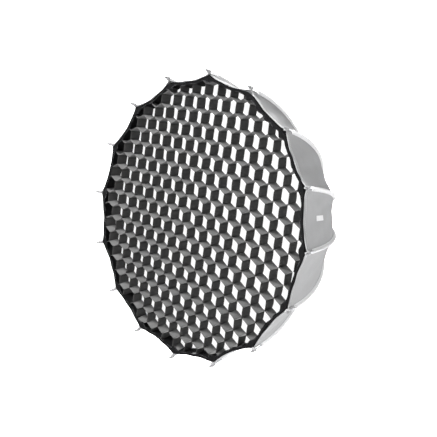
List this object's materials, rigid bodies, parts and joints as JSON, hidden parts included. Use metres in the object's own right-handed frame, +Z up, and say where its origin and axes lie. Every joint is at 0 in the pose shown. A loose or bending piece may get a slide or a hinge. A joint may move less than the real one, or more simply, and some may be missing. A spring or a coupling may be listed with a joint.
{
  "type": "deep parabolic softbox",
  "caption": "Deep parabolic softbox with bowed rods that fold on a rotating bayonet speed ring, a gored reflective shell, an inner baffle, a front diffuser and a fabric honeycomb grid",
  "frame": {"origin": "centre of the rear face of the bayonet spigot, where the box meets the lamp", "axes": "+Z up, light leaves towards -Y, +Y towards the lamp"},
  "size_m": [0.9094, 0.6217, 0.9094],
  "materials": {
    "cast_alloy": "satin machined alloy",
    "hub_black": "fine matt black powder coat",
    "spring_steel": "drawn steel wire",
    "black_plastic": "moulded, fine grain",
    "shell_cloth": "coated plain weave, silver inside",
    "white_cloth": "translucent white weave",
    "black_cloth": "black woven strip and binding"
  },
  "bodies": {
    "mount": {"mount_ring": "cast_alloy", "insert_retainer": "hub_black", "retainer_screws": "spring_steel"},
    "hub": {"speed_ring": "hub_black", "rod_pivot_pins": "spring_steel", "rear_collar": "black_cloth", "front_diffuser": "white_cloth", "inner_diffuser": "white_cloth", "honeycomb_grid": "black_cloth", "grid_border": "black_cloth"},
    "lock_ring": {"lock_ring": "black_plastic"},
    "swivel_lock_knob": {"swivel_lock_knob": "black_plastic"},
    "rod_01": {"rod_01": "spring_steel", "rod_tip_01": "black_plastic"},
    "gore_01": {"shell_panel_01": "shell_cloth"},
    "rod_02": {"rod_02": "spring_steel", "rod_tip_02": "black_plastic"},
    "gore_02": {"shell_panel_02": "shell_cloth"},
    "rod_03": {"rod_03": "spring_steel", "rod_tip_03": "black_plastic"},
    "gore_03": {"shell_panel_03": "shell_cloth"},
    "rod_04": {"rod_04": "spring_steel", "rod_tip_04": "black_plastic"},
    "gore_04": {"shell_panel_04": "shell_cloth"},
    "rod_05": {"rod_05": "spring_steel", "rod_tip_05": "black_plastic"},
    "gore_05": {"shell_panel_05": "shell_cloth"},
    "rod_06": {"rod_06": "spring_steel", "rod_tip_06": "black_plastic"},
    "gore_06": {"shell_panel_06": "shell_cloth"},
    "rod_07": {"rod_07": "spring_steel", "rod_tip_07": "black_plastic"},
    "gore_07": {"shell_panel_07": "shell_cloth"},
    "rod_08": {"rod_08": "spring_steel", "rod_tip_08": "black_plastic"},
    "gore_08": {"shell_panel_08": "shell_cloth"},
    "rod_09": {"rod_09": "spring_steel", "rod_tip_09": "black_plastic"},
    "gore_09": {"shell_panel_09": "shell_cloth"},
    "rod_10": {"rod_10": "spring_steel", "rod_tip_10": "black_plastic"},
    "gore_10": {"shell_panel_10": "shell_cloth"},
    "rod_11": {"rod_11": "spring_steel", "rod_tip_11": "black_plastic"},
    "gore_11": {"shell_panel_11": "shell_cloth"},
    "rod_12": {"rod_12": "spring_steel", "rod_tip_12": "black_plastic"},
    "gore_12": {"shell_panel_12": "shell_cloth"},
    "rod_13": {"rod_13": "spring_steel", "rod_tip_13": "black_plastic"},
    "gore_13": {"shell_panel_13": "shell_cloth"},
    "rod_14": {"rod_14": "spring_steel", "rod_tip_14": "black_plastic"},
    "gore_14": {"shell_panel_14": "shell_cloth"},
    "rod_15": {"rod_15": "spring_steel", "rod_tip_15": "black_plastic"},
    "gore_15": {"shell_panel_15": "shell_cloth"},
    "rod_16": {"rod_16": "spring_steel", "rod_tip_16": "black_plastic"},
    "gore_16": {"shell_panel_16": "shell_cloth"}
  },
  "joints": [
    {"name": "swivel", "type": "hinge", "parent": "mount", "child": "hub", "pos_m": [0, 0, 0], "axis": [0, 1, 0], "continuous": true},
    {"name": "lock_ring_turn", "type": "hinge", "parent": "hub", "child": "lock_ring", "pos_m": [0, -0.019, 0], "axis": [0, 1, 0], "range_deg": [0, 11.25]},
    {"name": "lock_knob_turn", "type": "hinge", "parent": "hub", "child": "swivel_lock_knob", "pos_m": [0, -0.033, -0.1], "axis": [0, 0, -1], "range_deg": [-180, 0]},
    {"name": "rod_01_fold", "type": "hinge", "parent": "hub", "child": "rod_01", "pos_m": [0.01561, -0.03, 0.07846], "axis": [0.9808, 0, -0.1951], "range_deg": [0, 33], "deforming": ["rear_collar", "front_diffuser", "inner_diffuser", "honeycomb_grid", "grid_border", "shell_panel_01", "shell_panel_02", "shell_panel_03", "shell_panel_04", "shell_panel_05", "shell_panel_06", "shell_panel_07", "shell_panel_08", "shell_panel_09", "shell_panel_10", "shell_panel_11", "shell_panel_12", "shell_panel_13", "shell_panel_14", "shell_panel_15", "shell_panel_16"]},
    {"name": "rod_02_fold", "type": "hinge", "parent": "hub", "child": "rod_02", "pos_m": [0.04445, -0.03, 0.06652], "axis": [0.8315, 0, -0.5556], "range_deg": [0, 33]},
    {"name": "rod_03_fold", "type": "hinge", "parent": "hub", "child": "rod_03", "pos_m": [0.06652, -0.03, 0.04445], "axis": [0.5556, 0, -0.8315], "range_deg": [0, 33]},
    {"name": "rod_04_fold", "type": "hinge", "parent": "hub", "child": "rod_04", "pos_m": [0.07846, -0.03, 0.01561], "axis": [0.1951, 0, -0.9808], "range_deg": [0, 33]},
    {"name": "rod_05_fold", "type": "hinge", "parent": "hub", "child": "rod_05", "pos_m": [0.07846, -0.03, -0.01561], "axis": [-0.1951, 0, -0.9808], "range_deg": [0, 33]},
    {"name": "rod_06_fold", "type": "hinge", "parent": "hub", "child": "rod_06", "pos_m": [0.06652, -0.03, -0.04445], "axis": [-0.5556, 0, -0.8315], "range_deg": [0, 33]},
    {"name": "rod_07_fold", "type": "hinge", "parent": "hub", "child": "rod_07", "pos_m": [0.04445, -0.03, -0.06652], "axis": [-0.8315, 0, -0.5556], "range_deg": [0, 33]},
    {"name": "rod_08_fold", "type": "hinge", "parent": "hub", "child": "rod_08", "pos_m": [0.01561, -0.03, -0.07846], "axis": [-0.9808, 0, -0.1951], "range_deg": [0, 33]},
    {"name": "rod_09_fold", "type": "hinge", "parent": "hub", "child": "rod_09", "pos_m": [-0.01561, -0.03, -0.07846], "axis": [-0.9808, 0, 0.1951], "range_deg": [0, 33]},
    {"name": "rod_10_fold", "type": "hinge", "parent": "hub", "child": "rod_10", "pos_m": [-0.04445, -0.03, -0.06652], "axis": [-0.8315, 0, 0.5556], "range_deg": [0, 33]},
    {"name": "rod_11_fold", "type": "hinge", "parent": "hub", "child": "rod_11", "pos_m": [-0.06652, -0.03, -0.04445], "axis": [-0.5556, 0, 0.8315], "range_deg": [0, 33]},
    {"name": "rod_12_fold", "type": "hinge", "parent": "hub", "child": "rod_12", "pos_m": [-0.07846, -0.03, -0.01561], "axis": [-0.1951, 0, 0.9808], "range_deg": [0, 33]},
    {"name": "rod_13_fold", "type": "hinge", "parent": "hub", "child": "rod_13", "pos_m": [-0.07846, -0.03, 0.01561], "axis": [0.1951, 0, 0.9808], "range_deg": [0, 33]},
    {"name": "rod_14_fold", "type": "hinge", "parent": "hub", "child": "rod_14", "pos_m": [-0.06652, -0.03, 0.04445], "axis": [0.5556, 0, 0.8315], "range_deg": [0, 33]},
    {"name": "rod_15_fold", "type": "hinge", "parent": "hub", "child": "rod_15", "pos_m": [-0.04445, -0.03, 0.06652], "axis": [0.8315, 0, 0.5556], "range_deg": [0, 33]},
    {"name": "rod_16_fold", "type": "hinge", "parent": "hub", "child": "rod_16", "pos_m": [-0.01561, -0.03, 0.07846], "axis": [0.9808, 0, 0.1951], "range_deg": [0, 33]},
    {"name": "gore_01_fan", "type": "hinge", "parent": "rod_01", "child": "gore_01", "pos_m": [0.00551, -0.04952, 0.01329], "axis": [-0.3675, -0.279, -0.8872], "range_deg": [0, 13]},
    {"name": "gore_02_fan", "type": "hinge", "parent": "rod_02", "child": "gore_02", "pos_m": [0.01017, -0.04952, 0.01017], "axis": [-0.679, -0.279, -0.679], "range_deg": [0, 13]},
    {"name": "gore_03_fan", "type": "hinge", "parent": "rod_03", "child": "gore_03", "pos_m": [0.01329, -0.04952, 0.00551], "axis": [-0.8872, -0.279, -0.3675], "range_deg": [0, 13]},
    {"name": "gore_04_fan", "type": "hinge", "parent": "rod_04", "child": "gore_04", "pos_m": [0.01439, -0.04952, 0], "axis": [-0.9603, -0.279, 0], "range_deg": [0, 13]},
    {"name": "gore_05_fan", "type": "hinge", "parent": "rod_05", "child": "gore_05", "pos_m": [0.01329, -0.04952, -0.00551], "axis": [-0.8872, -0.279, 0.3675], "range_deg": [0, 13]},
    {"name": "gore_06_fan", "type": "hinge", "parent": "rod_06", "child": "gore_06", "pos_m": [0.01017, -0.04952, -0.01017], "axis": [-0.679, -0.279, 0.679], "range_deg": [0, 13]},
    {"name": "gore_07_fan", "type": "hinge", "parent": "rod_07", "child": "gore_07", "pos_m": [0.00551, -0.04952, -0.01329], "axis": [-0.3675, -0.279, 0.8872], "range_deg": [0, 13]},
    {"name": "gore_08_fan", "type": "hinge", "parent": "rod_08", "child": "gore_08", "pos_m": [0, -0.04952, -0.01439], "axis": [0, -0.279, 0.9603], "range_deg": [0, 13]},
    {"name": "gore_09_fan", "type": "hinge", "parent": "rod_09", "child": "gore_09", "pos_m": [-0.01355, -0.04341, -0.03272], "axis": [0.3675, -0.279, 0.8872], "range_deg": [0, 13]},
    {"name": "gore_10_fan", "type": "hinge", "parent": "rod_10", "child": "gore_10", "pos_m": [-0.01017, -0.04952, -0.01017], "axis": [0.679, -0.279, 0.679], "range_deg": [0, 13]},
    {"name": "gore_11_fan", "type": "hinge", "parent": "rod_11", "child": "gore_11", "pos_m": [-0.01329, -0.04952, -0.00551], "axis": [0.8872, -0.279, 0.3675], "range_deg": [0, 13]},
    {"name": "gore_12_fan", "type": "hinge", "parent": "rod_12", "child": "gore_12", "pos_m": [-0.01439, -0.04952, 0], "axis": [0.9603, -0.279, 0], "range_deg": [0, 13]},
    {"name": "gore_13_fan", "type": "hinge", "parent": "rod_13", "child": "gore_13", "pos_m": [-0.01329, -0.04952, 0.00551], "axis": [0.8872, -0.279, -0.3675], "range_deg": [0, 13]},
    {"name": "gore_14_fan", "type": "hinge", "parent": "rod_14", "child": "gore_14", "pos_m": [-0.01017, -0.04952, 0.01017], "axis": [0.679, -0.279, -0.679], "range_deg": [0, 13]},
    {"name": "gore_15_fan", "type": "hinge", "parent": "rod_15", "child": "gore_15", "pos_m": [-0.00551, -0.04952, 0.01329], "axis": [0.3675, -0.279, -0.8872], "range_deg": [0, 13]},
    {"name": "gore_16_fan", "type": "hinge", "parent": "rod_16", "child": "gore_16", "pos_m": [0, -0.04952, 0.01439], "axis": [0, -0.279, -0.9603], "range_deg": [0, 13]}
  ],
  "couplings": [
    {"joint": "rod_02_fold", "follows": "rod_01_fold", "ratio": 1},
    {"joint": "rod_03_fold", "follows": "rod_01_fold", "ratio": 1},
    {"joint": "rod_04_fold", "follows": "rod_01_fold", "ratio": 1},
    {"joint": "rod_05_fold", "follows": "rod_01_fold", "ratio": 1},
    {"joint": "rod_06_fold", "follows": "rod_01_fold", "ratio": 1},
    {"joint": "rod_07_fold", "follows": "rod_01_fold", "ratio": 1},
    {"joint": "rod_08_fold", "follows": "rod_01_fold", "ratio": 1},
    {"joint": "rod_09_fold", "follows": "rod_01_fold", "ratio": 1},
    {"joint": "rod_10_fold", "follows": "rod_01_fold", "ratio": 1},
    {"joint": "rod_11_fold", "follows": "rod_01_fold", "ratio": 1},
    {"joint": "rod_12_fold", "follows": "rod_01_fold", "ratio": 1},
    {"joint": "rod_13_fold", "follows": "rod_01_fold", "ratio": 1},
    {"joint": "rod_14_fold", "follows": "rod_01_fold", "ratio": 1},
    {"joint": "rod_15_fold", "follows": "rod_01_fold", "ratio": 1},
    {"joint": "rod_16_fold", "follows": "rod_01_fold", "ratio": 1},
    {"joint": "gore_01_fan", "follows": "rod_01_fold", "ratio": 0.38501},
    {"joint": "gore_02_fan", "follows": "rod_01_fold", "ratio": 0.38501},
    {"joint": "gore_03_fan", "follows": "rod_01_fold", "ratio": 0.38501},
    {"joint": "gore_04_fan", "follows": "rod_01_fold", "ratio": 0.38501},
    {"joint": "gore_05_fan", "follows": "rod_01_fold", "ratio": 0.38501},
    {"joint": "gore_06_fan", "follows": "rod_01_fold", "ratio": 0.38501},
    {"joint": "gore_07_fan", "follows": "rod_01_fold", "ratio": 0.38501},
    {"joint": "gore_08_fan", "follows": "rod_01_fold", "ratio": 0.38501},
    {"joint": "gore_09_fan", "follows": "rod_01_fold", "ratio": 0.38501},
    {"joint": "gore_10_fan", "follows": "rod_01_fold", "ratio": 0.38501},
    {"joint": "gore_11_fan", "follows": "rod_01_fold", "ratio": 0.38501},
    {"joint": "gore_12_fan", "follows": "rod_01_fold", "ratio": 0.38501},
    {"joint": "gore_13_fan", "follows": "rod_01_fold", "ratio": 0.38501},
    {"joint": "gore_14_fan", "follows": "rod_01_fold", "ratio": 0.38501},
    {"joint": "gore_15_fan", "follows": "rod_01_fold", "ratio": 0.38501},
    {"joint": "gore_16_fan", "follows": "rod_01_fold", "ratio": 0.38501}
  ]
}
